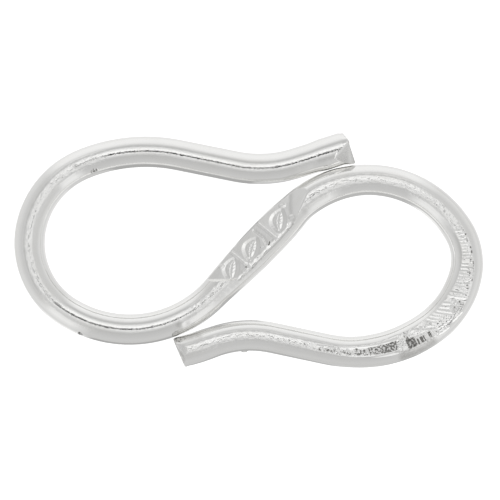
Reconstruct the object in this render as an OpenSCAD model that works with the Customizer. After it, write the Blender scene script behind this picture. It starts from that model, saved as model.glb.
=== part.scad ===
// S-hook clasp: one length of round wire, bent into two hooks about a struck middle bar.
// It lies on Z = 0 with +Z up. X is its long axis, and the origin is under the middle of its outline.
// Lengths are in millimetres and angles in degrees. Each hook starts at the bar and bends clockwise from above.

/* [Wire] */
// Diameter of the round wire
wire_d = 1.02; // [0.8:0.02:1.3]
// Clear gap between a tip and the shoulder that it closes on
tip_gap = 0.04; // [0.02:0.01:0.3]
// Bevel round the sawn ends
end_bevel = 0.07; // [0.03:0.01:0.15]
// Width that nipping adds to the wire behind the sawn ends
nip_spread = 0.06; // [0:0.01:0.15]

/* [Middle bar] */
// Length of the straight bar between the two shoulders
bar_len = 3.8; // [3.2:0.1:5]
// Lean of the bar from the long axis
bar_lean = 46; // [40:1:52]
// Width that striking adds to the bar
bar_spread = 0.25; // [0.1:0.01:0.4]
// Depth of the struck panel below the round wire's crest, at the middle of the bar
panel_depth = 0.15; // [0.05:0.01:0.25]
// Roll of the panel towards the upper left
panel_roll = 18; // [0:1:25]
// Length of the panel
panel_len = 3; // [2:0.1:3.6]
// Distance of the panel's middle from the bar's middle, towards the right hook
panel_shift = 0.2; // [0:0.05:0.4]
// Depth of the flat that the anvil left under the bar
anvil_flat = 0.08; // [0:0.01:0.15]

/* [Stamped petals] */
// Number of raised petals in the panel
petals = 3; // [1:1:3]
// Distance from one petal to the next
petal_pitch = 1; // [0.8:0.05:1.1]
// Length of a petal
petal_len = 0.8; // [0.4:0.05:1]
// Width of a petal
petal_w = 0.5; // [0.3:0.05:0.6]
// Height of a petal above the panel
petal_h = 0.06; // [0.02:0.01:0.1]

/* [Right hook] */
// Radius of the shoulder
right_shoulder_r = 3.5; // [3.2:0.05:3.9]
// Turn of the shoulder
right_shoulder_turn = 105; // [98:1:112]
// Radius of the end bow
right_end_r = 2; // [1.7:0.05:2.4]
// Turn of the end bow
right_end_turn = 45; // [40:1:50]
// Radius of the bend after the end bow
right_under_r = 3; // [2.7:0.05:3.4]
// Turn of the bend after the end bow
right_under_turn = 40; // [35:1:45]
// Length of the straight between the bend that closes the hook and the lip
right_flare_len = 1.85; // [0.8:0.05:2.4]
// Radius of the flared lip
right_lip_r = 3.6; // [2.8:0.1:4.4]
// Length of the straight tip
right_tip_len = 1.3; // [0.9:0.05:1.8]
// Width that gripping adds to the wire in the outer band
band_spread = 0.16; // [0:0.01:0.3]
// Depth of the flat on the outer band
band_flat = 0.08; // [0:0.01:0.15]

/* [Left hook] */
// Radius of the shoulder
left_shoulder_r = 3.9; // [3.5:0.05:4.3]
// Turn of the shoulder
left_shoulder_turn = 78; // [72:1:84]
// Radius of the end bow
left_end_r = 2.7; // [2.4:0.05:3]
// Turn of the end bow
left_end_turn = 72; // [66:1:78]
// Radius of the bend after the end bow
left_under_r = 2.9; // [2.6:0.05:3.2]
// Turn of the bend after the end bow
left_under_turn = 54; // [49:1:59]
// Length of the straight between the bend that closes the hook and the lip
left_flare_len = 1.95; // [0.8:0.05:2.6]
// Radius of the flared lip
left_lip_r = 4; // [3.4:0.1:4.6]
// Length of the straight tip
left_tip_len = 1.9; // [1.4:0.05:2.4]

/* [Closing] */
// Turn of the right shoulder at which the left hook's tip lies nearest to it
right_seat_turn = 28.5; // [24:0.5:33]
// Reach of the left hook's tip past that place
left_tip_past = 0.8; // [0.4:0.05:1.2]
// Turn of the left shoulder at which the right hook's tip lies nearest to it
left_seat_turn = 27; // [23:0.5:31]
// Reach of the right hook's tip past that place
right_tip_past = 0; // [0:0.05:0.6]

/* [Hidden] */

wire_r = wire_d / 2;
// Sides of the wire's section, and how many degrees they crowd towards its crest and its belly
sides = 24;
crowding = 12;
// The turn between two sections of a bend, and the steps along straight wire
bend_step = 7;
straight_step = 0.45 * wire_d;
tip_step = 0.18 * wire_d;
panel_step = petal_len / 8;

// How the wire departs from round. Columns: place along the wire, share of the extra width, share of the flat's
// depth, and the shift of the section to the upper left as a share of the extra width.
PLACE = 0;
EXTRA_WIDTH = 1;
FLAT = 2;
SHIFT = 3;
// The struck bar. Its places are shares of the panel's length from the panel's middle, towards the right hook.
panel_rows = [
    [-0.75, 0.0, 0.0, 0.0],
    [-0.65, 0.1, 0.0, 0.1],
    [-0.48, 0.4, 1.0, 0.0],
    [-0.07, 1.0, 1.0, 0.0],
    [0.20, 1.0, 1.0, 0.1],
    [0.47, 0.9, 1.0, 0.1],
    [0.60, 0.4, 0.0, -0.2],
    [1.00, 0.3, 0.0, -0.1],
    [1.40, 0.0, 0.0, 0.0]
];
// The gripped band. Its places are shares of the right hook's length from the bar's middle.
band_rows = [
    [0.40, 0.0, 0.0, 0.0],
    [0.44, 0.2, 0.4, 0.0],
    [0.50, 0.8, 0.8, 0.1],
    [0.56, 1.0, 1.0, 0.0],
    [0.62, 0.9, 1.0, 0.0],
    [0.67, 0.5, 0.6, 0.0],
    [0.72, 0.0, 0.2, 0.0],
    [0.76, 0.0, 0.0, 0.0]
];
// The nipped ends. Their places are shares of a hook's length from the bar's middle.
nip_rows = [
    [0.935, 0],
    [0.955, 1],
    [1.000, 1]
];

// A pose is [x, y, heading]. A bend is [radius, turn], clockwise below zero, and [0, length] is straight.
function left_of(heading) = [-sin(heading), cos(heading)];
function ahead(pose, far) = [pose.x + far * cos(pose.z), pose.y + far * sin(pose.z), pose.z];
function aside(pose, far) = [pose.x, pose.y] + far * left_of(pose.z);
function bend_len(bend) = bend[0] == 0 ? bend[1] : bend[0] * abs(bend[1]) * PI / 180;
function after_turn(pose, radius, turn) =
    let (centre = aside(pose, sign(turn) * radius), heading = pose.z + turn)
    let (end = centre - sign(turn) * radius * left_of(heading))
    [end.x, end.y, heading];
function part_way(pose, bend, share) =
    bend[0] == 0 ? ahead(pose, share * bend[1]) : after_turn(pose, bend[0], share * bend[1]);
function pose_at(start, bends, i) = i == 0 ? start : part_way(pose_at(start, bends, i - 1), bends[i - 1], 1);
function sum_before(v, i) = i == 0 ? 0 : v[i - 1] + sum_before(v, i - 1);

// The last bends of a hook: a clockwise bend that closes it, a straight, and a lip that turns back into the tip's
// pose. The closing bend gets the radius at which both bends meet the straight.
function whole_turn(angle) = angle < 0 ? angle + 360 : angle;
function closing(from, tip, flare_len, lip_r, tip_len) =
    let (lip_centre = aside(ahead(tip, -tip_len), lip_r), away = lip_centre - [from.x, from.y])
    let (close_r = (away * away - flare_len ^ 2 - lip_r ^ 2) / 2 / (lip_r - away * left_of(from.z)))
    let (span = lip_centre - aside(from, -close_r))
    let (heading = atan2(span.y, span.x) - atan2(close_r + lip_r, flare_len))
    [
        [close_r, -whole_turn((from.z - heading) % 360)],
        [0, flare_len],
        [lip_r, whole_turn((tip.z - heading) % 360)],
        [0, tip_len]
    ];

right_start = [0, 0, bar_lean];
left_start = [0, 0, bar_lean + 180];
right_bows = [
    [0, bar_len / 2],
    [right_shoulder_r, -right_shoulder_turn],
    [right_end_r, -right_end_turn],
    [right_under_r, -right_under_turn]
];
left_bows = [
    [0, bar_len / 2],
    [left_shoulder_r, -left_shoulder_turn],
    [left_end_r, -left_end_turn],
    [left_under_r, -left_under_turn]
];
// Each tip lies along the other hook's shoulder, nearest to it at one place, and ends a little past that place
tip_pitch = wire_d + nip_spread / 2 + tip_gap;
function seated_tip(start, shoulder_r, seat_turn, past) =
    let (seat = after_turn(ahead(start, bar_len / 2), shoulder_r, -seat_turn), beside = aside(seat, tip_pitch))
    ahead([beside.x, beside.y, seat.z], past);
left_tip = seated_tip(right_start, right_shoulder_r, right_seat_turn, left_tip_past);
right_tip = seated_tip(left_start, left_shoulder_r, left_seat_turn, right_tip_past);
right_bends = concat(right_bows, closing(pose_at(right_start, right_bows, len(right_bows)), right_tip,
                                         right_flare_len, right_lip_r, right_tip_len));
left_bends = concat(left_bows, closing(pose_at(left_start, left_bows, len(left_bows)), left_tip,
                                       left_flare_len, left_lip_r, left_tip_len));
function hook_len(bends) = sum_before([for (bend = bends) bend_len(bend)], len(bends));
right_len = hook_len(right_bends);
left_len = hook_len(left_bends);

// Stations of a hook: [x, y, heading, length from the bar's middle], from the bar's middle to the bevelled end
function steps_of(bends, i) =
    i == 0 ? ceil(bend_len(bends[i]) / panel_step)
    : i == len(bends) - 1 ? ceil(bend_len(bends[i]) / tip_step)
    : bends[i][0] == 0 ? ceil(bend_len(bends[i]) / straight_step)
    : max(1, ceil(abs(bends[i][1]) / bend_step));
function stations(start, bends) = let (lengths = [for (bend = bends) bend_len(bend)], last = len(bends) - 1) [
    for (i = [0 : last])
        let (from = pose_at(start, bends, i), before = sum_before(lengths, i), steps = steps_of(bends, i))
        let (used = i == last ? 1 - end_bevel / lengths[i] : 1)
        for (k = [1 : steps])
            let (share = used * k / steps, pose = part_way(from, bends[i], share))
            [pose.x, pose.y, pose.z, before + share * lengths[i]],
    let (end = pose_at(start, bends, last + 1))
        [end.x, end.y, end.z, sum_before(lengths, last + 1)]
];
// The whole wire runs from the left hook's tip to the right hook's tip, so the left hook is turned round
right_half = stations(right_start, right_bends);
left_half = stations(left_start, left_bends);
wire = concat(
    [for (i = [len(left_half) - 1 : -1 : 0]) let (s = left_half[i]) [s.x, s.y, s.z - 180, -s[3]]],
    [[0, 0, bar_lean, 0]],
    right_half
);

// Forms of the section, each by the signed length from the bar's middle
function column(rows, c) = [for (row = rows) [row[PLACE], row[c]]];
function panel_part(at, c) = lookup((at - panel_shift) / panel_len, column(panel_rows, c));
function band_part(at, c) = at < 0 ? 0 : lookup(at / right_len, column(band_rows, c));
function nipped(at) = lookup(at < 0 ? -at / left_len : at / right_len, column(nip_rows, EXTRA_WIDTH));
function to_end(at) = at < 0 ? left_len + at : right_len - at;
function width_at(at) =
    wire_d + panel_part(at, EXTRA_WIDTH) * bar_spread + band_part(at, EXTRA_WIDTH) * band_spread
    + nipped(at) * nip_spread;
function shift_at(at) = panel_part(at, SHIFT) * bar_spread + band_part(at, SHIFT) * band_spread;
// Height of the petals over the panel, across the bar by side and along it by at
function petal_at(at, side) = max([
    for (i = [0 : petals - 1])
        let (along = (at - panel_shift - (i - (petals - 1) / 2) * petal_pitch) / (petal_len / 2))
        let (across = side / (petal_w / 2))
        petal_h * sqrt(max(0, 1 - along * along - across * across))
]);
// Highest and lowest that the struck faces let the wire reach, measured from the wire's axis
function ceiling(at, side) =
    wire_r + petal_at(at, side) - panel_part(at, FLAT) * (panel_depth + side * tan(panel_roll))
    - band_part(at, FLAT) * band_flat;
function floor_at(at) = -wire_r + panel_part(at, FLAT) * anvil_flat;
// The shears left a slanted facet over the lower front corner of the left hook's end. At the end's middle it
// stands this share of the wire's radius over the axis, and it rises away from the end and to the upper left.
facet_rise = 0.72;
facet_back_slope = 0.45;
facet_side_slope = 0.5;
function facet(at, side) =
    at > 0 ? wire_d : facet_rise * wire_r + facet_back_slope * to_end(at) + facet_side_slope * side;

// One section: points round the wire, pressed between the struck faces
function section(s) = let (at = s[3], small = to_end(at) < end_bevel / 2 ? 1 - end_bevel / wire_r : 1) [
    for (k = [0 : sides - 1])
        let (angle = 360 * k / sides + crowding * sin(720 * k / sides))
        let (side = small * width_at(at) / 2 * cos(angle))
        let (top = min(ceiling(at, side), facet(at, side)))
        let (rise = max(floor_at(at), min(top, small * wire_r * sin(angle))))
        let (spot = aside(s, side + shift_at(at)))
        [spot.x, spot.y, wire_r + rise]
];

sections = [for (s = wire) section(s)];
reach_x = [for (ring = sections, spot = ring) spot.x];
reach_y = [for (ring = sections, spot = ring) spot.y];
outline_mid = [(min(reach_x) + max(reach_x)) / 2, (min(reach_y) + max(reach_y)) / 2, 0];

// A closed skin over the sections, with a flat face at each sawn end
module sweep(rings) {
    last = len(rings) - 1;
    points = [for (ring = rings) each ring];
    skin = [
        for (i = [0 : last - 1], k = [0 : sides - 1])
            let (a = i * sides + k, b = i * sides + (k + 1) % sides)
            each [[a, b + sides, b], [a, a + sides, b + sides]]
    ];
    first_end = [for (k = [0 : sides - 1]) k];
    last_end = [for (k = [sides - 1 : -1 : 0]) last * sides + k];
    polyhedron(points, concat(skin, [first_end, last_end]));
}

module s_hook() {
    color("silver")
        translate(-outline_mid) sweep(sections);
}

s_hook();
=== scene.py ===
import math
import random

import bpy
import numpy as np
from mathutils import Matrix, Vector


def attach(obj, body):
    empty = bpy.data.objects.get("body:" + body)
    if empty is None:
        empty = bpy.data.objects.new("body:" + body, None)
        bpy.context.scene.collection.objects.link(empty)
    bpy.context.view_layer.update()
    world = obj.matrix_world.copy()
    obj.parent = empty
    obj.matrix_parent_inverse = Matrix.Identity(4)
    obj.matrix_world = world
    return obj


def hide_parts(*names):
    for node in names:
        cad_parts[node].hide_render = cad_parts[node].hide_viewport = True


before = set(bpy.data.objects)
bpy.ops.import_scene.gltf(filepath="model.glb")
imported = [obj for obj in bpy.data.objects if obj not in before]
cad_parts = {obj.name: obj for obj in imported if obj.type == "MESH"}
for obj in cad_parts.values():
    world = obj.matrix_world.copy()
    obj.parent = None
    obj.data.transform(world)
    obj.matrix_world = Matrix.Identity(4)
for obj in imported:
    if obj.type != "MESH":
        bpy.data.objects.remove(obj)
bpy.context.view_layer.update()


# The wire: one length of round silver wire, modelled straight along X as it was before bending, with the
# middle of the bar at X = 0. It is made in lengths, each a short ring of wall copied along, fine where a tool
# marked it. It is modelled in millimetres and brought to metres at the end.
WIRE_R = 0.51
WIRE_SIDES = 60
LEFT_LEN = 22.41834
RIGHT_LEN = 20.71740
LENGTHS = {  # start, end, length of one ring
    "left_end": (-LEFT_LEN, -20.40, 0.05),
    "left_hook": (-20.40, -14.00, 0.20),
    "left_nick": (-14.00, -13.20, 0.05),
    "left_bow": (-13.20, -6.90, 0.20),
    "left_spot": (-6.90, -6.30, 0.05),
    "left_shoulder": (-6.30, -3.80, 0.20),
    "left_scuff": (-3.80, -2.60, 0.05),
    "bar": (-2.60, 3.40, 0.05),
    "right_shoulder": (3.40, 6.80, 0.20),
    "gripped_band": (6.80, 16.20, 0.056),
    "right_hook": (16.20, 18.20, 0.20),
    "right_burr": (18.20, 18.80, 0.05),
    "right_neck": (18.80, 19.20, 0.20),
    "right_end": (19.20, RIGHT_LEN, 0.05),
}


def alone(piece):
    """Makes piece the only one selected, for the operators"""
    if bpy.context.object and bpy.context.object.mode == "EDIT":
        bpy.ops.object.mode_set(mode="OBJECT")
    bpy.ops.object.select_all(action="DESELECT")
    piece.select_set(True)
    bpy.context.view_layer.objects.active = piece


def points_of(piece):
    flat = np.empty(len(piece.data.vertices) * 3)
    piece.data.vertices.foreach_get("co", flat)
    return flat.reshape(-1, 3)


def pick(piece, chosen):
    """Goes into edit mode with just the chosen points selected"""
    alone(piece)
    bpy.ops.object.mode_set(mode="EDIT")
    bpy.ops.mesh.select_mode(type="VERT")
    bpy.ops.mesh.select_all(action="DESELECT")
    bpy.ops.object.mode_set(mode="OBJECT")
    piece.data.vertices.foreach_set("select", np.asarray(chosen, bool))
    bpy.ops.object.mode_set(mode="EDIT")


def length_of_wire(name):
    start, end, ring = LENGTHS[name]
    rings = math.ceil((end - start) / ring)
    step = (end - start) / rings
    bpy.ops.object.select_all(action="DESELECT")
    bpy.ops.mesh.primitive_cylinder_add(
        vertices=WIRE_SIDES, radius=WIRE_R, depth=step, end_fill_type="NOTHING",
        location=(start + step / 2, 0, 0), rotation=(0, math.radians(90), 0))
    piece = bpy.context.object
    piece.name = name
    bpy.ops.object.transform_apply(location=True, rotation=True, scale=True)
    bpy.ops.object.modifier_add(type="ARRAY")
    row = piece.modifiers[-1]
    row.count = rings
    row.use_relative_offset = False
    row.use_constant_offset = True
    row.constant_offset_displace = (step, 0, 0)
    row.use_merge_vertices = True
    row.merge_threshold = 0.001
    bpy.ops.object.modifier_apply(modifier=row.name)
    return piece


def refine(piece, start, end, half_width):
    """Cuts each upper face finer where a tool marked the wire, and keeps it round"""
    middles = np.empty(len(piece.data.polygons) * 3)
    piece.data.polygons.foreach_get("center", middles)
    x, y, z = middles.reshape(-1, 3).T
    alone(piece)
    bpy.ops.object.mode_set(mode="EDIT")
    bpy.ops.mesh.select_mode(type="FACE")
    bpy.ops.mesh.select_all(action="DESELECT")
    bpy.ops.object.mode_set(mode="OBJECT")
    piece.data.polygons.foreach_set("select", (x > start) & (x < end) & (np.abs(y) < half_width) & (z > 0))
    bpy.ops.object.mode_set(mode="EDIT")
    bpy.ops.mesh.subdivide(number_cuts=3, smoothness=1.0)
    bpy.ops.object.mode_set(mode="OBJECT")


def crest_ridge(piece, start, end):
    """The faint ridge that drawing and handling left along the top of the wire"""
    x, y, z = points_of(piece).T
    here = (x > start) & (x < end) & (z > 0)
    pick(piece, here & (np.abs(y) > 0.04) & (np.abs(y) < 0.07))
    bpy.ops.transform.translate(value=(0, 0, -0.0022))
    pick(piece, here & (np.abs(y) < 0.01))
    bpy.ops.mesh.mark_sharp()
    bpy.ops.object.mode_set(mode="OBJECT")


lengths = {name: length_of_wire(name) for name in LENGTHS}
bar = lengths["bar"]
band = lengths["gripped_band"]
left_end = lengths["left_end"]
right_end = lengths["right_end"]
CRESTS = [  # length, start, end
    ("left_bow", -13.1, -8.3),
    ("bar", 2.45, 3.5),
    ("right_shoulder", 3.3, 6.9),
    ("gripped_band", 6.7, 8.1),
    ("gripped_band", 16.05, 16.3),
    ("right_hook", 16.1, 18.3),
    ("right_burr", 18.1, 18.9),
    ("right_neck", 18.7, 19.3),
    ("right_end", 19.1, 20.6),
]
for name, start, end in CRESTS:
    crest_ridge(lengths[name], start, end)
refine(left_end, -22.36, -21.70, 0.40)
refine(bar, -1.85, 3.00, 0.47)
refine(band, 8.10, 8.20, 0.22)
refine(band, 8.20, 10.40, 0.28)
refine(band, 10.40, 13.10, 0.42)
refine(band, 13.10, 16.00, 0.24)


# The struck middle bar: hammered out wider between the dies. The anvil left a shallow flat below. The top die
# left a panel that leans to the upper left, with three sunk fields, a raised leaf in each and a rim along the
# low side.
BAR_WIDTHS = [  # place, added width
    (-2.6, 0.0), (-2.05, 0.0), (-1.75, 0.02), (-1.24, 0.10), (-0.6, 0.18), (0.0, 0.24), (0.8, 0.25),
    (1.3, 0.24), (1.6, 0.20), (1.8, 0.16), (2.1, 0.10), (2.6, 0.08), (3.4, 0.06),
]
SHOULDER_WIDTHS = [BAR_WIDTHS[-1], (4.6, 0.0), (6.8, 0.0)]


def widen(piece, widths):
    """Spreads a length of the wire sideways by a lattice. Each width is what is added at its place."""
    places, spreads = zip(*widths)
    count = math.ceil((places[-1] - places[0]) / 0.2) + 1
    bpy.ops.object.select_all(action="DESELECT")
    bpy.ops.object.add(type="LATTICE", location=((places[0] + places[-1]) / 2, 0, 0))
    cage = bpy.context.object
    cage.data.points_u, cage.data.points_v, cage.data.points_w = count, 2, 2
    cage.data.interpolation_type_u = "KEY_CARDINAL"
    cage.data.interpolation_type_v = cage.data.interpolation_type_w = "KEY_LINEAR"
    cage.scale = (places[-1] - places[0], 2 * WIRE_R, 2 * WIRE_R)
    for i, point in enumerate(cage.data.points):
        place = places[0] + (i % count) / (count - 1) * (places[-1] - places[0])
        spread = np.interp(place, places, spreads)
        point.co_deform.y = point.co.y * (1 + spread / (2 * WIRE_R))
    alone(piece)
    bpy.ops.object.modifier_add(type="LATTICE")
    piece.modifiers[-1].object = cage
    bpy.ops.object.modifier_apply(modifier=piece.modifiers[-1].name)
    bpy.data.objects.remove(cage)


def die_face(name, start, end, width, height, spacing):
    """A flat die, as a fine grid that faces up"""
    bpy.ops.object.select_all(action="DESELECT")
    bpy.ops.mesh.primitive_grid_add(
        x_subdivisions=math.ceil((end - start) / spacing), y_subdivisions=math.ceil(width / spacing), size=1,
        location=((start + end) / 2, 0, height))
    die = bpy.context.object
    die.name = name
    die.scale = (end - start, width, 1)
    bpy.ops.object.transform_apply(location=True, rotation=True, scale=True)
    return die


def off_line(points, line):
    """How far each point is, seen from above, from a line through a few places"""
    spots = points[:, :2]
    line = np.array(line, float)
    best = np.full(len(spots), np.inf)
    for a, b in zip(line[:-1], line[1:]):
        along = b - a
        share = np.clip((spots - a) @ along / max(along @ along, 1e-12), 0, 1)
        best = np.minimum(best, np.hypot(*(spots - a - share[:, None] * along).T))
    return best


def shift(piece, chosen, by, reach, falloff="LINEAR"):
    """Moves the chosen points, and those round them less and less as far as the reach"""
    pick(piece, chosen)
    bpy.ops.transform.translate(
        value=by, use_proportional_edit=True, proportional_size=reach, proportional_edit_falloff=falloff)
    bpy.ops.object.mode_set(mode="OBJECT")


def carve(die, line, rise, reach, core=0.010, falloff="LINEAR"):
    """Raises or sinks the die's face along a line"""
    shift(die, off_line(points_of(die), line) <= core, (0, 0, rise), reach, falloff)


def press(piece, die, down=True):
    """Presses a length of the wire against a die, down from its top face or up from the one below"""
    alone(piece)
    bpy.ops.object.modifier_add(type="SHRINKWRAP")
    blow = piece.modifiers[-1]
    blow.target = die
    blow.wrap_method = "PROJECT"
    blow.use_project_z = True
    blow.use_negative_direction = down
    blow.use_positive_direction = not down
    bpy.ops.object.modifier_apply(modifier=blow.name)
    bpy.data.objects.remove(die)


def darken(piece, share, layer="oxide"):
    """Leaves oxide, broken into specks by the skin, or even grey on the upper side: tarnished silver, painted
    shade at a few places
    """
    if layer not in piece.data.attributes:
        piece.data.attributes.new(layer, "FLOAT", "POINT")
    values = piece.data.attributes[layer].data
    before = np.empty(len(values))
    values.foreach_get("value", before)
    values.foreach_set("value", np.maximum(before, share * (points_of(piece)[:, 2] > 0)))


def rub(piece, chosen, times):
    """Rubs the chosen points smooth"""
    pick(piece, chosen)
    bpy.ops.mesh.vertices_smooth(factor=0.5, repeat=times)
    bpy.ops.object.mode_set(mode="OBJECT")


def stain(piece, line, reach, strength):
    """Oxide along a line"""
    darken(piece, strength * np.clip(1.3 - off_line(points_of(piece), line) / reach, 0, 1))


def cloud(piece, line, reach, strength):
    """Dull grey along a line, fading to its sides. It is tarnished silver, except at the calls marked painted
    shade.
    """
    darken(piece, strength * np.clip(1.2 - off_line(points_of(piece), line) / reach, 0, 1), "tarnish_and_painted_shade")


def stain_patch(piece, corners, strength):
    """Oxide in a patch with sharp edges. The corners go round it against the clock."""
    spots = points_of(piece)[:, :2]
    corners = np.array(corners, float)
    inside = np.full(len(spots), np.inf)
    for a, b in zip(corners, np.roll(corners, -1, axis=0)):
        along = (b - a) / np.hypot(*(b - a))
        inside = np.minimum(inside, along[0] * (spots - a)[:, 1] - along[1] * (spots - a)[:, 0])
    darken(piece, strength * np.clip(inside / 0.02 + 0.5, 0, 1))


widen(bar, BAR_WIDTHS)
widen(lengths["right_shoulder"], SHOULDER_WIDTHS)
ANVIL_DEPTH = 0.08
anvil = die_face("anvil", -2.6, 3.4, 1.6, -WIRE_R, 0.1)
carve(anvil, [(-0.7, 0), (1.1, 0)], ANVIL_DEPTH, 1.5, core=0.9, falloff="SMOOTH")
press(bar, anvil, down=False)

PANEL_DEPTH = 0.15
PANEL_LEAN = 18
PANEL_FACE = WIRE_R - PANEL_DEPTH
top_die = die_face("top_die", -1.9, 3.0, 1.34, PANEL_FACE, 0.014)


def fold(die, at, slant, rise, beyond):
    """Turns up the die's face beyond a line across it, which is slanted forward at its far side"""
    slant = math.radians(slant)
    centre = (at, 0, PANEL_FACE)
    past = (points_of(die)[:, 0] - at) * math.cos(slant) - points_of(die)[:, 1] * math.sin(slant)
    pick(die, past * beyond >= 0)
    for axis, value in (("Z", -slant), ("Y", math.radians(beyond * rise)), ("Z", slant)):
        bpy.ops.transform.rotate(value=value, orient_axis=axis, center_override=centre)
    bpy.ops.object.mode_set(mode="OBJECT")


LEAF_REACH = 0.27  # from a leaf's middle to its tip
LEAF_BEND = 0.05
FIELD_DEPTH = 0.021
LEAF_HEIGHT = 0.016


def leaf(die, x, y, turn):
    """A bent, pointed leaf raised in a sunk field, with a midrib and three pairs of veins"""
    along = Vector((math.cos(math.radians(turn)), math.sin(math.radians(turn))))
    across = Vector((-along.y, along.x))
    middle = Vector((x, y))

    def at(u, v=0.0):
        """A place on the leaf, from its foot at -1 to its tip at 1, and how far out to its side"""
        return middle + LEAF_REACH * u * along + (v - LEAF_BEND * u * u) * across

    spots = points_of(die)[:, :2] - np.array(middle)
    u = spots @ np.array(along) / LEAF_REACH
    v = spots @ np.array(across) + LEAF_BEND * u * u
    shift(die, np.abs(v) <= 0.20 * (1 - 0.62 * u * u), (0, 0, -FIELD_DEPTH), 0.105)
    shift(die, np.abs(v) <= 0.085 * (1 - u * u), (0, 0, LEAF_HEIGHT), 0.07)
    carve(die, [at(-1.35), at(-0.7), at(0), at(0.6), at(0.95)], -0.008, 0.034)
    for foot in (-0.45, 0.0, 0.4):
        for side in (-1, 1):
            carve(die, [at(foot), at(foot + 0.35, side * 0.10 * (1 - 0.5 * foot))], -0.006, 0.024)


fold(top_die, -1.22, -43, 56, -1)
fold(top_die, 1.86, 40, 19, 1)
LOW_SIDE = -0.21
RIM_LEAN = 6
pick(top_die, points_of(top_die)[:, 1] <= LOW_SIDE)
bpy.ops.transform.rotate(value=math.radians(RIM_LEAN - PANEL_LEAN), orient_axis="X",
                         center_override=(0, LOW_SIDE, PANEL_FACE))
bpy.ops.mesh.select_all(action="SELECT")
bpy.ops.transform.rotate(value=math.radians(PANEL_LEAN), orient_axis="X", center_override=(0, 0, PANEL_FACE))
rub(top_die, off_line(points_of(top_die), [(1.60, -0.31), (2.50, 0.76)]) < 0.22, 80)
LEAVES = [(-0.92, 0.16, 36), (0.04, 0.16, 28), (1.33, 0.15, 40)]  # x, y, turn in degrees
FIELD_WALLS = (-0.47, 0.84)
for x, y, turn in LEAVES:
    leaf(top_die, x, y, turn)
for x in FIELD_WALLS:
    carve(top_die, [(x + 0.04, -0.19), (x - 0.03, 0.62)], 0.030, 0.06)
carve(top_die, [(0.52, -0.12), (0.60, 0.12), (0.55, 0.50)], -0.014, 0.05)
DIE_DENTS = [(1.79, 0.40), (1.74, -0.08), (-1.05, 0.45), (-0.42, -0.10)]
for x, y in DIE_DENTS:
    carve(top_die, [(x - 0.03, y + 0.02), (x + 0.03, y - 0.02)], 0.02, 0.08)
hammer = random.Random(5)
for k in range(9):
    x = -1.10 + k * 0.32 + hammer.uniform(-0.1, 0.1)
    carve(top_die, [(x, -0.21), (x + hammer.uniform(0.06, 0.16), -0.25)], hammer.uniform(-0.016, 0.018), 0.08)
carve(top_die, [(-1.05, -0.31), (0.2, -0.335), (1.5, -0.31)], -0.024, 0.032)
press(bar, top_die)
# The polish rubbed the far end of the panel round.
spots = points_of(bar)
rubbed = (spots[:, 0] > 1.95) & (spots[:, 0] < 2.93) & (np.abs(spots[:, 1]) < 0.42)
rubbed |= off_line(spots, [(1.90, 0.04), (2.36, 0.54)]) < 0.10
rub(bar, rubbed & (spots[:, 2] > 0), 16)
BAR_STAINS = [  # line, strength
    ([(-0.52, -0.17), (-0.47, -0.13)], 1.1),
    ([(0.54, -0.18), (0.64, -0.14)], 1.2),
    ([(0.30, -0.05), (0.38, -0.08)], 0.5),
    ([(-0.80, -0.31), (-0.30, -0.33)], 0.3),
]
for line, strength in BAR_STAINS:
    stain(bar, line, 0.022, strength)
cloud(bar, [(-1.00, -0.29), (-0.40, -0.33), (0.30, -0.32), (0.90, -0.33), (1.60, -0.29)], 0.035, 0.5)
# Painted reflection: a dull grey band along the lower side of the round wire past the bar, where a dark band
# of reflection lies.
cloud(bar, [(2.20, -0.24), (3.10, -0.22)], 0.13, 0.30)


# The gripped band: the pliers that closed the right hook held the silver here and left a flat of fine cross
# ribs, then slanted ones, then a coarse bite with dark oxide in its pits. The wire spread a little under the
# jaws, and the bite pulled up two lips.
BAND_WIDTHS = [  # place, added width
    (6.8, 0.0), (9.1, 0.03), (10.4, 0.13), (11.6, 0.16), (12.8, 0.145), (13.9, 0.08), (14.9, 0.0),
    (16.4, 0.0),
]
widen(band, BAND_WIDTHS)
jaw = die_face("jaw", 6.8, 16.4, 0.9, WIRE_R + 0.002, 0.1)
carve(jaw, [(8.3, 0), (15.3, 0)], -0.018, 0.9, core=0.5)
carve(jaw, [(11.3, 0), (12.9, 0)], -0.075, 1.9, core=0.5)
carve(jaw, [(13.1, 0), (13.9, 0)], 0.012, 0.5, core=0.46)


def part_of_jaw(name, start, end):
    """A stretch of the jaw, cut out and smoothed into a fine grid for its teeth"""
    alone(jaw)
    bpy.ops.object.duplicate()
    stretch = bpy.context.object
    stretch.name = name
    bpy.ops.object.mode_set(mode="EDIT")
    for x, outward in ((start, -1), (end, 1)):
        bpy.ops.mesh.select_all(action="SELECT")
        bpy.ops.mesh.bisect(plane_co=(x, 0, 0), plane_no=(outward, 0, 0), clear_outer=True)
    bpy.ops.object.mode_set(mode="OBJECT")
    bpy.ops.object.modifier_add(type="SUBSURF")
    stretch.modifiers[-1].levels = 3
    bpy.ops.object.modifier_apply(modifier=stretch.modifiers[-1].name)
    return stretch


ribbed_jaw = part_of_jaw("ribbed_jaw", 6.8, 10.6)
hatched_jaw = part_of_jaw("hatched_jaw", 10.3, 12.9)
coarse_jaw = part_of_jaw("coarse_jaw", 12.6, 16.4)


def teeth(die, lines, reach=0.062, steepness=0.19):
    """Ridges of the jaw, each a line from its foot to its head, that press grooves with plane walls"""
    for foot_x, foot_y, head_x, head_y in lines:
        carve(die, [(foot_x, foot_y), (head_x, head_y)], -steepness * reach, reach)


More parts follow.
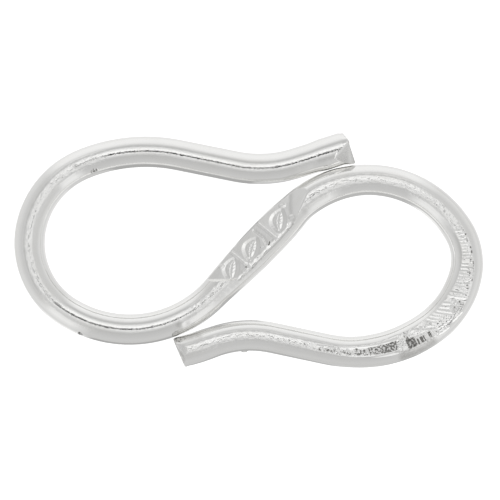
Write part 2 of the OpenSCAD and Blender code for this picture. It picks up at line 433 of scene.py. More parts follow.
teeth(ribbed_jaw, [  # foot x, foot y, head x, head y
    (8.24, -0.16, 8.36, 0.08), (8.36, -0.19, 8.47, 0.08), (8.49, -0.19, 8.59, 0.08),
    (8.62, -0.20, 8.71, 0.08), (8.74, -0.20, 8.82, 0.09), (8.86, -0.20, 8.92, 0.10),
    (8.97, -0.20, 9.01, 0.10), (9.09, -0.20, 9.11, 0.11), (9.20, -0.20, 9.21, 0.10),
    (9.31, -0.21, 9.31, 0.12), (9.38, 0.12, 9.39, -0.21), (9.50, 0.00, 9.50, -0.23),
    (9.61, 0.14, 9.63, -0.23), (9.70, 0.16, 9.77, -0.24), (9.80, 0.17, 9.88, -0.24),
    (9.90, 0.17, 10.00, -0.24), (10.00, 0.08, 10.11, -0.23), (10.12, 0.16, 10.23, -0.25),
    (10.22, 0.20, 10.34, -0.25), (10.32, 0.20, 10.45, -0.26)])
carve(ribbed_jaw, [(8.22, 0.10), (8.50, 0.125), (9.20, 0.14)], -0.010, 0.035)
carve(ribbed_jaw, [(9.36, 0.18), (9.62, 0.18), (10.00, 0.22)], -0.010, 0.035)
teeth(hatched_jaw, [
    (10.43, 0.22, 10.60, -0.28), (10.54, 0.22, 10.74, -0.31)], reach=0.075, steepness=0.20)
teeth(hatched_jaw, [
    (10.84, -0.10, 11.11, 0.15), (10.96, -0.12, 11.10, -0.32), (11.02, 0.00, 11.27, -0.32),
    (11.12, 0.15, 11.44, -0.33), (11.24, 0.19, 11.60, -0.34), (11.32, 0.21, 11.76, -0.35),
    (11.42, 0.21, 11.92, -0.33), (11.54, 0.20, 12.02, -0.26), (11.66, 0.18, 12.06, -0.14),
    (11.78, 0.16, 12.34, -0.10), (12.30, -0.12, 12.62, -0.27)])
teeth(hatched_jaw, [
    (11.92, 0.26, 11.94, 0.10), (12.03, 0.27, 12.06, 0.05), (12.15, 0.27, 12.18, 0.05),
    (12.26, 0.27, 12.29, 0.04), (12.38, 0.27, 12.41, 0.03), (12.50, 0.27, 12.53, 0.02),
    (12.61, 0.27, 12.64, 0.02)], steepness=0.24)

bite = random.Random(11)


def pits(die, start, end, low, high, count, depth):
    """Scattered pits of the jaw's coarse bite"""
    for _ in range(count):
        x, y = bite.uniform(start, end), bite.uniform(low, high)
        dx, dy = bite.uniform(-0.03, 0.03), bite.uniform(-0.03, 0.03)
        line = [(x - dx, y - dy), (x + dx, y + dy)]
        carve(die, line, -depth * bite.uniform(0.4, 1), 0.04, falloff="SMOOTH")


PITS = [  # jaw, start, end, low, high, count, depth
    (ribbed_jaw, 7.00, 7.50, 0.03, 0.14, 9, 0.012),
    (ribbed_jaw, 7.90, 8.40, 0.06, 0.13, 9, 0.012),
    (ribbed_jaw, 8.30, 10.40, -0.15, 0.16, 24, 0.006),
    (hatched_jaw, 10.70, 10.80, 0.10, 0.28, 5, 0.02),
    (hatched_jaw, 10.80, 11.10, -0.02, 0.24, 10, 0.02),
    (hatched_jaw, 11.95, 12.60, -0.28, -0.12, 14, 0.010),
    (coarse_jaw, 12.66, 12.94, -0.05, 0.26, 26, 0.022),
    (coarse_jaw, 12.84, 12.94, -0.30, -0.05, 9, 0.02),
    (coarse_jaw, 13.28, 14.05, -0.13, 0.12, 46, 0.022),
    (coarse_jaw, 14.10, 15.90, -0.08, 0.08, 50, 0.014),
]
for row in PITS:
    pits(*row)
carve(coarse_jaw, [(13.2, -0.19), (14.6, -0.18), (15.7, -0.10), (16.1, -0.05)], -0.013, 0.08)
carve(coarse_jaw, [(13.25, 0.16), (14.6, 0.15), (15.8, 0.10)], 0.009, 0.045)
alone(coarse_jaw)
bpy.ops.object.duplicate()
press(lengths["right_hook"], bpy.context.object)
for part in (ribbed_jaw, hatched_jaw, coarse_jaw):
    press(band, part)
bpy.data.objects.remove(jaw)


def pull_lip(piece, line, half_width, rise, tip_down):
    """Pulls the metal along a line up into a thin lip with a straight top, which leans in a little"""
    spots = points_of(piece)
    lip = (off_line(spots, line) <= half_width) & (spots[:, 2] > 0)
    middle = (*spots[lip][:, :2].mean(axis=0), spots[lip][:, 2].max() + rise)
    pick(piece, lip)
    bpy.ops.transform.resize(value=(1, 1, 0), center_override=middle)
    bpy.ops.transform.rotate(value=math.radians(-9), orient_axis="X", center_override=middle)
    bpy.ops.transform.rotate(value=math.radians(tip_down), orient_axis="Y", center_override=middle)
    bpy.ops.object.mode_set(mode="OBJECT")


BAND_LIPS = [  # line, tip down in degrees
    ([(10.97, 0.375), (11.06, 0.365), (11.15, 0.345), (11.25, 0.352), (11.36, 0.33)], 4),
    ([(11.57, 0.385), (11.68, 0.365), (11.80, 0.362), (11.92, 0.34)], 3.5),
]
for line, tip_down in BAND_LIPS:
    pull_lip(band, line, 0.033, 0.002, tip_down)
BAND_STAINS = [  # line, strength
    ([(8.22, 0.10), (8.48, 0.13)], 0.5),
    ([(8.49, 0.12), (8.52, 0.12)], 0.9),
    ([(8.64, 0.09), (8.74, 0.09)], 0.8),
    ([(8.94, 0.135), (9.20, 0.135)], 0.8),
    ([(9.38, 0.18), (9.60, 0.18)], 0.9),
    ([(9.74, 0.12), (9.77, 0.09)], 0.7),
    ([(9.92, 0.22), (9.98, 0.22)], 0.8),
    ([(10.15, -0.10), (10.17, -0.12)], 0.6),
    ([(10.76, 0.28), (10.79, 0.20), (10.74, 0.11)], 0.9),
    ([(10.73, -0.10), (10.76, -0.12)], 0.8),
    ([(10.95, 0.05), (11.02, 0.14), (11.06, 0.24)], 0.6),
    ([(11.11, -0.16), (11.14, -0.18)], 0.5),
    ([(11.90, 0.25), (11.93, 0.20)], 0.8),
    ([(11.79, -0.23), (11.82, -0.24)], 0.5),
    ([(7.05, 0.06), (7.45, 0.12)], 0.3),
    ([(7.95, 0.08), (8.20, 0.10)], 0.4),
]
for line, strength in BAND_STAINS:
    stain(band, line, 0.024, strength)
DARK_PATCHES = [  # corners, strength
    ([(12.65, -0.05), (12.96, -0.05), (12.96, 0.27), (12.65, 0.27)], 1.0),
    ([(12.84, -0.32), (12.94, -0.32), (12.96, -0.05), (12.83, -0.06)], 0.55),
    ([(13.25, -0.16), (13.75, -0.15), (13.75, 0.14), (13.28, 0.14)], 0.80),
    ([(13.75, -0.15), (14.25, -0.14), (14.20, 0.13), (13.75, 0.14)], 0.66),
    ([(14.25, -0.12), (14.75, -0.11), (14.70, 0.12), (14.25, 0.12)], 0.44),
    ([(14.80, -0.08), (15.95, -0.02), (15.90, 0.08), (14.80, 0.10)], 0.42),
]
for corners, strength in DARK_PATCHES:
    stain_patch(band, corners, strength)
for x in (12.13, 12.17, 12.36, 12.43, 12.47, 12.58):
    stain(band, [(x, 0.08), (x + 0.01, 0.24)], 0.028, 1.2)
for x, y in ((14.20, -0.10), (14.63, -0.10), (14.55, 0.05), (14.05, 0.05)):
    stain(band, [(x, y), (x + 0.04, y)], 0.035, 1.0)
# Painted shade: a broad grey cloud on the band's outer lower side, standing in for the shading there.
cloud(band, [(12.20, 0.40), (12.60, 0.44), (13.20, 0.42)], 0.17, 0.75)
cloud(band, [(12.95, 0.31), (13.40, 0.20)], 0.035, 0.7)


# The two ends of the silver wire: nipped off, which spread them a little, with the rim rubbed round. The
# shears took one slanted slice off the top of the left hook's end, which turned up a thin lip, and two off
# the right hook's. A burr was left under the right hook, and scuffs on the left bow and shoulder.
END_BEVEL = 0.045
CUT_MARGIN = 0.022
CUT_CORNERS = 12  # a cut face has more corners than this, and any other face has fewer
SHEARS = {  # height of each cut at the tip's middle, and the way that it faces
    "left_end": [(0.80 * WIRE_R, Vector((-0.32, 0.55, 1.0)))],
    "right_end": [(0.82 * WIRE_R, Vector((0.27, -0.10, 1.0))), (0.84 * WIRE_R, Vector((0.615, 0.37, 1.0)))],
}
LEFT_RIDGES = [  # line, rise
    ([(-21.94, 0.13), (-22.00, 0.09)], 0.006),
    ([(-22.16, -0.16), (-22.20, -0.12)], 0.005),
    ([(-22.27, -0.14), (-22.30, -0.10)], 0.005),
]
for end, tip, spread in ((left_end, -LEFT_LEN, 0.06), (right_end, RIGHT_LEN, 0.02)):
    outward = math.copysign(1, tip)
    nipped = sorted([(tip - outward * 1.35, 0.0), (tip - outward * 0.95, spread), (tip, spread)])
    widen(end, nipped)
    pick(end, np.abs(points_of(end)[:, 0] - tip) < 0.001)
    bpy.ops.mesh.edge_face_add()
    bpy.ops.mesh.select_mode(type="FACE")
    bpy.ops.mesh.region_to_loop()
    bpy.ops.mesh.bevel(offset=END_BEVEL, segments=4, profile=0.5, affect="EDGES")
    bpy.ops.object.mode_set(mode="OBJECT")
    spots = points_of(end)
    rim = np.abs(spots[:, 0] - tip) < END_BEVEL + 0.001
    if end is left_end:
        shift(end, rim & (spots[:, 1] < -0.42), (0.08, 0.04, 0), 0.26, "SMOOTH")
        shift(end, rim & (spots[:, 1] > 0.42), (0, 0.065, 0), 0.34, "SMOOTH")
        for line, rise in LEFT_RIDGES:
            spots = points_of(end)
            shift(end, (off_line(spots, line) <= 0.012) & (spots[:, 2] > 0), (0, 0, rise), 0.045)
    else:
        shift(end, rim, (0, -0.030, 0), 0.7, "SMOOTH")
        pick(end, rim)
        bpy.ops.transform.rotate(
            value=math.radians(-4), orient_axis="Z", center_override=(tip, -0.6, 0),
            use_proportional_edit=True, proportional_size=0.3, proportional_edit_falloff="SMOOTH")
    for height, faces in SHEARS[end.name]:
        pick(end, np.ones(len(end.data.vertices)))
        bpy.ops.mesh.bisect(
            plane_co=(tip, 0, height), plane_no=faces.normalized(), use_fill=True, clear_outer=True)
    bpy.ops.mesh.select_mode(type="FACE")
    bpy.ops.mesh.select_all(action="DESELECT")
    bpy.ops.object.mode_set(mode="OBJECT")
    for face in end.data.polygons:
        face.select = len(face.vertices) > CUT_CORNERS
    bpy.ops.object.mode_set(mode="EDIT")
    bpy.ops.mesh.inset(thickness=CUT_MARGIN)
    bpy.ops.object.mode_set(mode="OBJECT")
pull_lip(left_end, [(-21.80, 0.24), (-21.865, 0.15), (-21.92, 0.09)], 0.029, -0.015, 2.5)
for line, strength in (([(20.69, -0.50), (20.52, -0.38)], 0.6), ([(20.45, -0.46), (20.30, -0.43)], 0.4)):
    stain(right_end, line, 0.05, strength)
cloud(right_end, [(20.69, -0.46), (20.30, -0.42), (19.85, -0.36)], 0.13, 0.5)
cloud(right_end, [(20.71, -0.55), (20.71, 0.10)], 0.03, 0.9)
cloud(right_end, [(20.57, 0.10), (20.58, 0.23), (20.63, 0.31), (20.71, 0.38)], 0.03, 0.8)
cloud(left_end, [(-22.42, -0.16), (-22.42, 0.60)], 0.03, 1.0)
cloud(left_end, [(-21.88, 0.29), (-21.98, 0.38), (-22.10, 0.44), (-22.25, 0.48), (-22.42, 0.52)], 0.035, 0.9)
cloud(left_end, [(-21.30, 0.16), (-21.84, 0.20)], 0.08, 0.25)
scuff = lengths["left_scuff"]
SCUFFS = [  # x, y, rise
    (-3.32, -0.22, 0.008),
    (-3.20, -0.28, -0.008),
    (-3.24, -0.15, 0.006),
    (-3.42, -0.32, -0.006),
]
for x, y, rise in SCUFFS:
    spots = points_of(scuff)
    scraped = (off_line(spots, [(x - 0.03, y), (x + 0.03, y)]) <= 0.03) & (spots[:, 2] > 0)
    shift(scuff, scraped, (0, 0, rise), 0.09)
# Painted reflection: a grey cloud on the shoulder's lower side, standing in for the right tip's dark end
# mirrored there.
cloud(scuff, [(-3.52, -0.36), (-3.40, -0.14)], 0.10, 0.4)
burr = lengths["right_burr"]
spots = points_of(burr)
shift(burr, (np.abs(spots[:, 0] - 18.45) < 0.10) & (spots[:, 1] > 0.505), (0, 0.045, 0), 0.06)
for name, line, strength in (("left_nick", [(-13.72, 0.35), (-13.50, 0.36)], 0.85),
                             ("left_spot", [(-6.58, -0.45), (-6.52, -0.45)], 1.2)):
    stain(lengths[name], line, 0.05, strength)


# Bending: the straight silver wire was bent cold along one line, from the left hook's tip to the right one's.
# Each tip closes on the other hook's shoulder with a gap too narrow for a ring, so the clasp holds by its own
# spring.
BAR_MIDDLE = (0.152746, -0.092009)
BAR_LEAN = 46
RIGHT_BENDS = [  # radius, turn in degrees, clockwise below zero. A radius of 0 is a straight, and its length.
    (0, 1.9), (3.5, -105), (2, -45), (3, -40), (4.35954, -47.9141), (0, 1.85), (3.6, 30.9141), (0, 1.3),
]
LEFT_BENDS = [  # the same
    (0, 1.9), (3.9, -78), (2.7, -72), (2.9, -54), (5.52765, -33.358), (0, 1.95), (4, 28.858), (0, 1.9),
]


def line_of(bends, heading):
    """Points along a line of bends, a degree of turn apart"""
    spot, heading = Vector(BAR_MIDDLE), math.radians(heading)
    spots = [spot.copy()]
    for radius, turn in bends:
        if radius == 0:
            steps, stride, swing = 20, turn / 20, 0
        else:
            steps = math.ceil(abs(turn))
            swing = math.radians(turn) / steps
            stride = 2 * radius * math.sin(abs(swing) / 2)
        for _ in range(steps):
            heading += swing / 2
            spot = spot + stride * Vector((math.cos(heading), math.sin(heading)))
            heading += swing / 2
            spots.append(spot.copy())
    return spots


left_line = line_of(LEFT_BENDS, BAR_LEAN + 180)
right_line = line_of(RIGHT_BENDS, BAR_LEAN)
whole_line = left_line[::-1] + right_line[1:]

alone(left_end)
for piece in lengths.values():
    piece.select_set(True)
bpy.ops.object.join()
clasp = bpy.context.object
clasp.name = "s_hook_wire"
bpy.ops.object.mode_set(mode="EDIT")
bpy.ops.mesh.select_all(action="SELECT")
bpy.ops.mesh.remove_doubles(threshold=0.002)
bpy.ops.mesh.normals_make_consistent(inside=False)
bpy.ops.object.mode_set(mode="OBJECT")
straight = clasp.data.attributes.new("straight", "FLOAT_VECTOR", "POINT")
straight.data.foreach_set("vector", points_of(clasp).ravel())

route = bpy.data.curves.new("line_of_bends", "CURVE")
route.dimensions = "3D"
route.twist_mode = "Z_UP"
spline = route.splines.new("POLY")
spline.points.add(len(whole_line) - 1)
for point, spot in zip(spline.points, whole_line):
    point.co = (spot.x, spot.y, 0, 1)
former = bpy.data.objects.new("former", route)
bpy.context.scene.collection.objects.link(former)
alone(clasp)
bpy.ops.object.mode_set(mode="EDIT")
bpy.ops.mesh.select_all(action="SELECT")
bpy.ops.transform.translate(value=(LEFT_LEN, 0, 0))
bpy.ops.object.mode_set(mode="OBJECT")
bpy.ops.object.modifier_add(type="CURVE")
clasp.modifiers[-1].object = former
clasp.modifiers[-1].deform_axis = "POS_X"
bpy.ops.object.modifier_apply(modifier=clasp.modifiers[-1].name)
bpy.data.objects.remove(former)
bpy.ops.object.mode_set(mode="EDIT")
bpy.ops.mesh.select_all(action="SELECT")
bpy.ops.transform.translate(value=(0, 0, WIRE_R))
bpy.ops.transform.resize(value=(0.001, 0.001, 0.001), center_override=(0, 0, 0))
bpy.ops.object.mode_set(mode="OBJECT")
bpy.ops.object.shade_smooth_by_angle(angle=math.radians(30))


# The silver: drawn, polished and handled. Faint drawing lines run along the wire, the polish waves a little,
# the right hook is duller where it was worked, and oxide sits in the marks. The nipped ends are duller, with
# the lines of the cut.
def node_in(tree, kind, **settings):
    made = tree.nodes.new(kind)
    for name, value in settings.items():
        setattr(made, name, value)
    return made


def joined(tree, target, value):
    """Sets a socket, or links it when the value is another node's socket"""
    if isinstance(value, bpy.types.NodeSocket):
        tree.links.new(value, target)
    elif value is not None:
        target.default_value = value


def sum_node(tree, operation, a, b=None, c=None):
    made = node_in(tree, "ShaderNodeMath", operation=operation)
    for socket, value in zip(made.inputs, (a, b, c)):
        joined(tree, socket, value)
    return made.outputs[0]


def spread_node(tree, value, from_low, from_high, to_low=0.0, to_high=1.0):
    made = node_in(tree, "ShaderNodeMapRange", interpolation_type="SMOOTHSTEP")
    for socket, given in zip(made.inputs, (value, from_low, from_high, to_low, to_high)):
        joined(tree, socket, given)
    return made.outputs[0]


def noise_node(tree, vector, scale, detail=2.0, roughness=0.5):
    made = node_in(tree, "ShaderNodeTexNoise", noise_dimensions="3D")
    joined(tree, made.inputs["Vector"], vector)
    joined(tree, made.inputs["Scale"], scale)
    joined(tree, made.inputs["Detail"], detail)
    joined(tree, made.inputs["Roughness"], roughness)
    return made.outputs["Fac"]


def stretched(tree, vector, scale):
    made = node_in(tree, "ShaderNodeVectorMath", operation="MULTIPLY")
    joined(tree, made.inputs[0], vector)
    made.inputs[1].default_value = scale
    return made.outputs[0]


def blend_node(tree, share, low, high):
    """Mixes two colours, each a value or another node's socket"""
    made = node_in(tree, "ShaderNodeMix", data_type="RGBA")
    for name, value in (("Factor", share), ("A", low), ("B", high)):
        joined(tree, made.inputs[name], value)
    return made.outputs["Result"]


# Colour and height of worn silver. It reads where each point was on the straight wire, in millimetres.
skin = bpy.data.node_groups.new("silver_skin", "ShaderNodeTree")
skin.interface.new_socket("Lines", in_out="INPUT", socket_type="NodeSocketFloat")
skin.interface.new_socket("Waves", in_out="INPUT", socket_type="NodeSocketFloat")
skin.interface.new_socket("Colour", in_out="OUTPUT", socket_type="NodeSocketColor")
skin.interface.new_socket("Roughness", in_out="OUTPUT", socket_type="NodeSocketFloat")
skin.interface.new_socket("Height", in_out="OUTPUT", socket_type="NodeSocketFloat")
asked = node_in(skin, "NodeGroupInput")
given = node_in(skin, "NodeGroupOutput")
place = node_in(skin, "ShaderNodeAttribute", attribute_name="straight").outputs["Vector"]
oxide = node_in(skin, "ShaderNodeAttribute", attribute_name="oxide").outputs["Fac"]
along = node_in(skin, "ShaderNodeSeparateXYZ")
skin.links.new(place, along.inputs[0])
drawn = noise_node(skin, stretched(skin, place, (0.8, 20, 20)), 1.0, 3.0, 0.6)
waves = noise_node(skin, stretched(skin, place, (1.2, 2.6, 2.6)), 1.0, 1.0)
grain = noise_node(skin, stretched(skin, place, (12, 18, 18)), 1.0, 2.0, 0.7)
specks = noise_node(skin, place, 16.0, 2.0, 0.6)
tarnish_and_painted_shade = node_in(skin, "ShaderNodeAttribute", attribute_name="tarnish_and_painted_shade").outputs["Fac"]
crest = spread_node(skin, along.outputs["Z"], 0.455, 0.498)
ribbed = sum_node(skin, "MULTIPLY", spread_node(skin, along.outputs["X"], 8.0, 8.4),
                  spread_node(skin, along.outputs["X"], 13.4, 13.0))
worked = sum_node(skin, "SUBTRACT", spread_node(skin, along.outputs["X"], -3.1, -2.6), ribbed)
bow = sum_node(skin, "MULTIPLY", spread_node(skin, along.outputs["X"], -14.4, -13.8),
               spread_node(skin, along.outputs["X"], -7.0, -8.0))
rough_crest = sum_node(skin, "MULTIPLY", sum_node(skin, "MAXIMUM", worked, bow), crest)
height = sum_node(skin, "MULTIPLY", drawn, asked.outputs["Lines"])
height = sum_node(skin, "MULTIPLY_ADD", waves, asked.outputs["Waves"], height)
grain_depth = spread_node(skin, crest, 0.0, 1.0, 0.18, 0.56)
height = sum_node(skin, "MULTIPLY_ADD", grain, grain_depth, height)
hammered = noise_node(skin, stretched(skin, place, (6, 10, 10)), 1.0, 1.0)
height = sum_node(skin, "MULTIPLY_ADD", sum_node(skin, "MULTIPLY", hammered, rough_crest), 1.9, height)
scuffed = sum_node(skin, "MULTIPLY", sum_node(skin, "MULTIPLY", bow, crest), 0.065)
oxide = sum_node(skin, "ADD", oxide, scuffed)
stained = sum_node(skin, "MULTIPLY_ADD", oxide, 0.3, specks)
stained = spread_node(skin, stained, 0.62, 0.77)
stained = sum_node(skin, "MULTIPLY", stained, spread_node(skin, oxide, 0.02, 0.15))
bitten = sum_node(skin, "MULTIPLY", spread_node(skin, oxide, 0.1, 0.8), specks)
height = sum_node(skin, "MULTIPLY_ADD", bitten, 3.0, height)
patchy = noise_node(skin, stretched(skin, place, (0.9, 3, 3)), 1.0, 3.0)
dulling = spread_node(skin, patchy, 0.35, 0.75, 0.05, 0.13)
dulling = sum_node(skin, "MULTIPLY_ADD", rough_crest, 0.10, dulling)
dulling = sum_node(skin, "MULTIPLY_ADD", stained, 0.3, dulling)
dulling = sum_node(skin, "MULTIPLY_ADD", tarnish_and_painted_shade, 0.12, dulling)
BRIGHT, WARM = (0.940, 0.938, 0.925, 1), (0.920, 0.915, 0.895, 1)
TARNISH_AND_SHADE_GREY, OXIDISED = (0.47, 0.465, 0.45, 1), (0.25, 0.245, 0.235, 1)
colour = blend_node(skin, spread_node(skin, patchy, 0.45, 0.75), BRIGHT, WARM)
# The dull grey layer is tarnished silver at most places, and painted shade and painted reflection at the few
# places marked so where it is laid.
cloudy = sum_node(skin, "MULTIPLY", tarnish_and_painted_shade, spread_node(skin, specks, 0.3, 0.6, 0.7, 1.0))
colour = blend_node(skin, cloudy, colour, TARNISH_AND_SHADE_GREY)
colour = blend_node(skin, stained, colour, OXIDISED)
skin.links.new(colour, given.inputs["Colour"])
skin.links.new(dulling, given.inputs["Roughness"])
skin.links.new(height, given.inputs["Height"])


def silver_finish(name, lines, waves, depth, extra_roughness):
    """A silver with its own depth of drawing lines and waves. The depth is in metres."""
    finish = bpy.data.materials.new(name)
    finish.use_nodes = True
    tree = finish.node_tree
    shader = tree.nodes["Principled BSDF"]
    shader.inputs["Metallic"].default_value = 1.0
    group = node_in(tree, "ShaderNodeGroup", node_tree=skin)
    group.inputs["Lines"].default_value = lines
    group.inputs["Waves"].default_value = waves
    tree.links.new(group.outputs["Colour"], shader.inputs["Base Color"])
    roughness = sum_node(tree, "ADD", group.outputs["Roughness"], extra_roughness)
    tree.links.new(roughness, shader.inputs["Roughness"])
    bump = node_in(tree, "ShaderNodeBump")
    bump.inputs["Strength"].default_value = 1.0
    bump.inputs["Distance"].default_value = depth
    tree.links.new(group.outputs["Height"], bump.inputs["Height"])
    tree.links.new(bump.outputs["Normal"], shader.inputs["Normal"])
    return finish


clasp.data.materials.append(silver_finish("polished_silver", 0.12, 1.0, 0.000006, 0.0))
clasp.data.materials.append(silver_finish("nipped_silver", 0.5, 0.6, 0.000012, 0.15))
for face in clasp.data.polygons:
    if len(face.vertices) > CUT_CORNERS:
        face.material_index = 1
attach(clasp, "root")
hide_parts("s_hook")


# The floor: a plain white table top, lit past white as the photograph's is. Only in the silver's reflections,
# a painted sheen glows on its middle, and painted shade lies close to the wire and inside both hooks.
TABLE_GREY = (0.54, 0.54, 0.54, 1)
TABLE_GLOW = 0.85
bpy.ops.object.select_all(action="DESELECT")
bpy.ops.mesh.primitive_plane_add(size=4)
floor = bpy.context.object
floor.name = "table_top"
white = bpy.data.materials.new("white_table")
white.use_nodes = True
tree = white.node_tree
tree.nodes.clear()


def glow(level):
    made = node_in(tree, "ShaderNodeEmission")
    made.inputs["Strength"].default_value = level
    return made.outputs[0]


def mixed(share, low, high):
    made = node_in(tree, "ShaderNodeMixShader")
    for socket, value in zip(made.inputs, (share, low, high)):
        tree.links.new(value, socket)
    return made.outputs[0]


paint = node_in(tree, "ShaderNodeBsdfDiffuse")
paint.inputs["Color"].default_value = TABLE_GREY
both = node_in(tree, "ShaderNodeAddShader")
tree.links.new(paint.outputs[0], both.inputs[0])
tree.links.new(glow(TABLE_GLOW), both.inputs[1])
spot_on_table = node_in(tree, "ShaderNodeSeparateXYZ")
tree.links.new(node_in(tree, "ShaderNodeTexCoord").outputs["Object"], spot_on_table.inputs[0])


def patch(left, right, front, back, edge):
    """A patch of the table with soft edges, in millimetres"""
    share = None
    for axis, low, high in (("X", left, right), ("Y", front, back)):
        for start, full in ((low, low + edge), (high, high - edge)):
            side = spread_node(tree, spot_on_table.outputs[axis], start / 1000, full / 1000)
            share = side if share is None else sum_node(tree, "MULTIPLY", share, side)
    return share


# Painted reflections on the table, seen only in the silver: a painted sheen on its middle for low
# reflections, and dim patches of painted shade for steep ones.
facing_table = node_in(tree, "ShaderNodeLayerWeight")
facing_table.inputs["Blend"].default_value = 0.5
grazing = spread_node(tree, facing_table.outputs["Facing"], 0.76, 0.82)
# Painted sheen: a bright glow on the middle of the table, which only low glossy rays see.
painted_sheen = sum_node(tree, "MULTIPLY", patch(-6.6, 7.4, -4.2, -0.2, 0.7), grazing)
reflected = mixed(painted_sheen, node_in(tree, "ShaderNodeBsdfTransparent").outputs[0], glow(0.98))
# Patches of painted shade close to the wire and inside both hooks, seen only in the silver's steep
# reflections.
PAINTED_SHADE_PATCHES = [  # left, right, front, back, share
    (-4.6, 0.3, 0.3, 3.1, 0.9),
    (-0.1, 1.5, 1.9, 2.7, 0.9),
    (2.3, 5.4, -0.6, 2.2, 0.5),
    (-2.1, 0.6, -2.8, -1.6, 0.8),
    (-5.7, -2.0, -4.3, -2.9, 0.9),
    (-2.2, 3.0, -4.6, -3.3, 0.7),
    (4.2, 6.0, -4.4, -2.9, 0.6),
]
floor_painted_shade = None
for left, right, front, back, share in PAINTED_SHADE_PATCHES:
    dim = sum_node(tree, "MULTIPLY", patch(left, right, front, back, 0.35), share)
    floor_painted_shade = dim if floor_painted_shade is None else sum_node(tree, "MAXIMUM", floor_painted_shade, dim)
steep = spread_node(tree, facing_table.outputs["Facing"], 0.72, 0.58)
# Painted shade: steep glossy rays see a dim glow in these patches in place of the tent.
reflected = mixed(sum_node(tree, "MULTIPLY", floor_painted_shade, steep), reflected, glow(0.40))
rays = node_in(tree, "ShaderNodeLightPath")
out = node_in(tree, "ShaderNodeOutputMaterial")
tree.links.new(mixed(rays.outputs["Is Glossy Ray"], both.outputs[0], reflected), out.inputs["Surface"])
floor.data.materials.append(white)


# The light tent: white cloth hung on all sides, brighter overhead. The lens looks in through a dark hole in
# it, which the silver mirrors.
def grey(level):
    """The light that prints as this level of grey, from 0 to 255"""
    share = level / 255
    value = share / 12.92 if share <= 0.04045 else ((share + 0.055) / 1.055) ** 2.4
    return (value, value, value, 1)


world = bpy.data.worlds.new("light_tent")
bpy.context.scene.world = world
world.use_nodes = True
cloth = world.node_tree
cloth.nodes.clear()
SILVER_SHARE = 0.918


def ramp(factor, stops):
    made = node_in(cloth, "ShaderNodeValToRGB")
    made.color_ramp.interpolation = "LINEAR"
    elements = made.color_ramp.elements
    while len(elements) < len(stops):
        elements.new(1)
    for element, (spot, shown) in zip(elements, stops):
        element.position = spot
        element.color = shown
    cloth.links.new(factor, made.inputs[0])
    return made.outputs["Color"]


towards = node_in(cloth, "ShaderNodeTexCoord").outputs["Generated"]
way = node_in(cloth, "ShaderNodeSeparateXYZ")
cloth.links.new(towards, way.inputs[0])
down_share = sum_node(cloth, "DIVIDE", sum_node(cloth, "ARCCOSINE", way.outputs["Z"]), math.pi)
around = sum_node(cloth, "ARCTAN2", way.outputs["Y"], way.outputs["X"])
around_share = sum_node(cloth, "ADD", sum_node(cloth, "DIVIDE", around, 2 * math.pi), 0.5)


def wall(levels):
    """A tent wall's grey by how far it is from overhead, in degrees"""
    return ramp(down_share, [(angle / 180, [v / SILVER_SHARE for v in grey(level)[:3]] + [1])
                             for angle, level in levels])


def facing(edges):
    """Where a wall stands, by compass degrees from -180 to 180: (angle, share) pairs"""
    return ramp(around_share, [((angle + 180) / 360, (share, share, share, 1)) for angle, share in edges])


right_wall = wall([
    (0, 240), (12, 230), (20, 213), (28, 203), (60, 199), (85, 212), (96, 216), (112, 208), (122, 211),
    (134, 222), (150, 224), (180, 220)])
left_wall = wall([
    (0, 238), (12, 230), (20, 215), (30, 198), (42, 180), (52, 190), (60, 197), (90, 210), (140, 216),
    (150, 228), (180, 232)])
back_wall = wall([
    (0, 236), (9, 242), (13, 250), (22, 247), (29, 224), (38, 210), (44, 184), (49, 188), (56, 206),
    (66, 226), (80, 235), (110, 236), (125, 228), (180, 232)])
front_wall = wall([
    (0, 224), (8, 236), (13, 214), (21, 198), (29, 184), (60, 192), (88, 198), (104, 197), (122, 194),
    (134, 202), (150, 192), (180, 205)])
front_sides = wall([
    (0, 224), (14, 213), (22, 203), (36, 200), (46, 224), (66, 232), (90, 221), (105, 214), (118, 214),
    (130, 238), (150, 240), (180, 234)])
front_right = wall([
    (0, 224), (14, 213), (22, 203), (36, 200), (46, 224), (66, 232), (90, 221), (105, 212), (118, 202),
    (130, 204), (150, 206), (180, 215)])
HUNG = [  # wall, where it stands
    (left_wall, [(-180, 1), (-150, 1), (-142, 0), (126, 0), (138, 1), (180, 1)]),
    (back_wall, [(50, 0), (64, 1), (126, 1), (138, 0)]),
    (front_sides, [(-142, 0), (-133, 1), (-54, 1), (-46, 0)]),
    (front_right, [(-90, 0), (-80, 1), (-54, 1), (-46, 0)]),
    (front_wall, [(-120, 0), (-110, 1), (-71, 1), (-62, 0)]),
]
tent = right_wall
for hung_wall, edges in HUNG:
    tent = blend_node(cloth, facing(edges), tent, hung_wall)

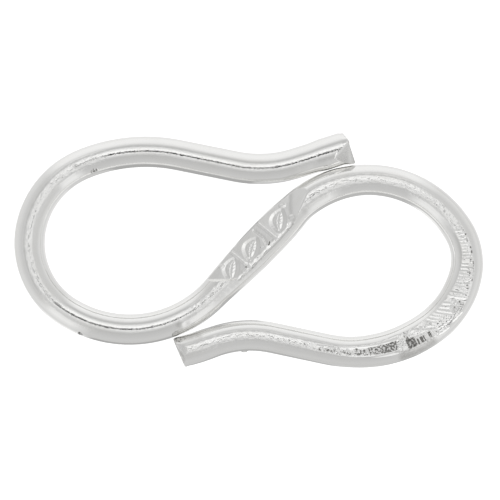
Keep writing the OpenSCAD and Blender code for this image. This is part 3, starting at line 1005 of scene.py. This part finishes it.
LENS_LEAN = (-0.8, 3.4)  # degrees off straight up, along X and along Y
LENS_HALF = (4.8, 5.5)
lens_way = node_in(cloth, "ShaderNodeVectorMath", operation="SUBTRACT")
cloth.links.new(towards, lens_way.inputs[0])
lens_way.inputs[1].default_value = (math.radians(LENS_LEAN[0]), math.radians(LENS_LEAN[1]), 1)
lens_size = node_in(cloth, "ShaderNodeVectorMath", operation="DIVIDE")
cloth.links.new(lens_way.outputs[0], lens_size.inputs[0])
lens_size.inputs[1].default_value = (math.radians(LENS_HALF[0]), math.radians(LENS_HALF[1]), 0.5)
lens_off = node_in(cloth, "ShaderNodeVectorMath", operation="LENGTH")
cloth.links.new(lens_size.outputs[0], lens_off.inputs[0])
lens_hole = node_in(cloth, "ShaderNodeMapRange")
cloth.links.new(lens_off.outputs["Value"], lens_hole.inputs["Value"])
lens_hole.inputs["From Min"].default_value = 1.1
lens_hole.inputs["From Max"].default_value = 0.9
tent = blend_node(cloth, lens_hole.outputs["Result"], tent, grey(25))

background = node_in(cloth, "ShaderNodeBackground")
cloth.links.new(tent, background.inputs["Color"])
blank = node_in(cloth, "ShaderNodeBackground")
blank.inputs["Strength"].default_value = 1.2
seen = node_in(cloth, "ShaderNodeMixShader")
cloth.links.new(node_in(cloth, "ShaderNodeLightPath").outputs["Is Camera Ray"], seen.inputs[0])
cloth.links.new(background.outputs[0], seen.inputs[1])
cloth.links.new(blank.outputs[0], seen.inputs[2])
world_out = node_in(cloth, "ShaderNodeOutputWorld")
cloth.links.new(seen.outputs[0], world_out.inputs["Surface"])
bpy.context.scene.view_settings.view_transform = "Standard"


# The camera: on a stand straight above the clasp, with a long lens. It shows 30 pixels to the millimetre, and
# its middle is a little to the right of the clasp's.
PX_PER_MM = 30
MM_ACROSS = 500 / PX_PER_MM
RIGHT_OF_CLASP = 1.25  # pixels
lens_data = bpy.data.cameras.new("camera")
lens_data.lens = 208
lens_data.sensor_width = 36
lens_data.clip_start = 0.005
camera = bpy.data.objects.new("camera", lens_data)
bpy.context.scene.collection.objects.link(camera)
distance = MM_ACROSS * lens_data.lens / lens_data.sensor_width
camera.location = (RIGHT_OF_CLASP / PX_PER_MM / 1000, 0, (WIRE_R + distance) / 1000)
bpy.context.scene.camera = camera
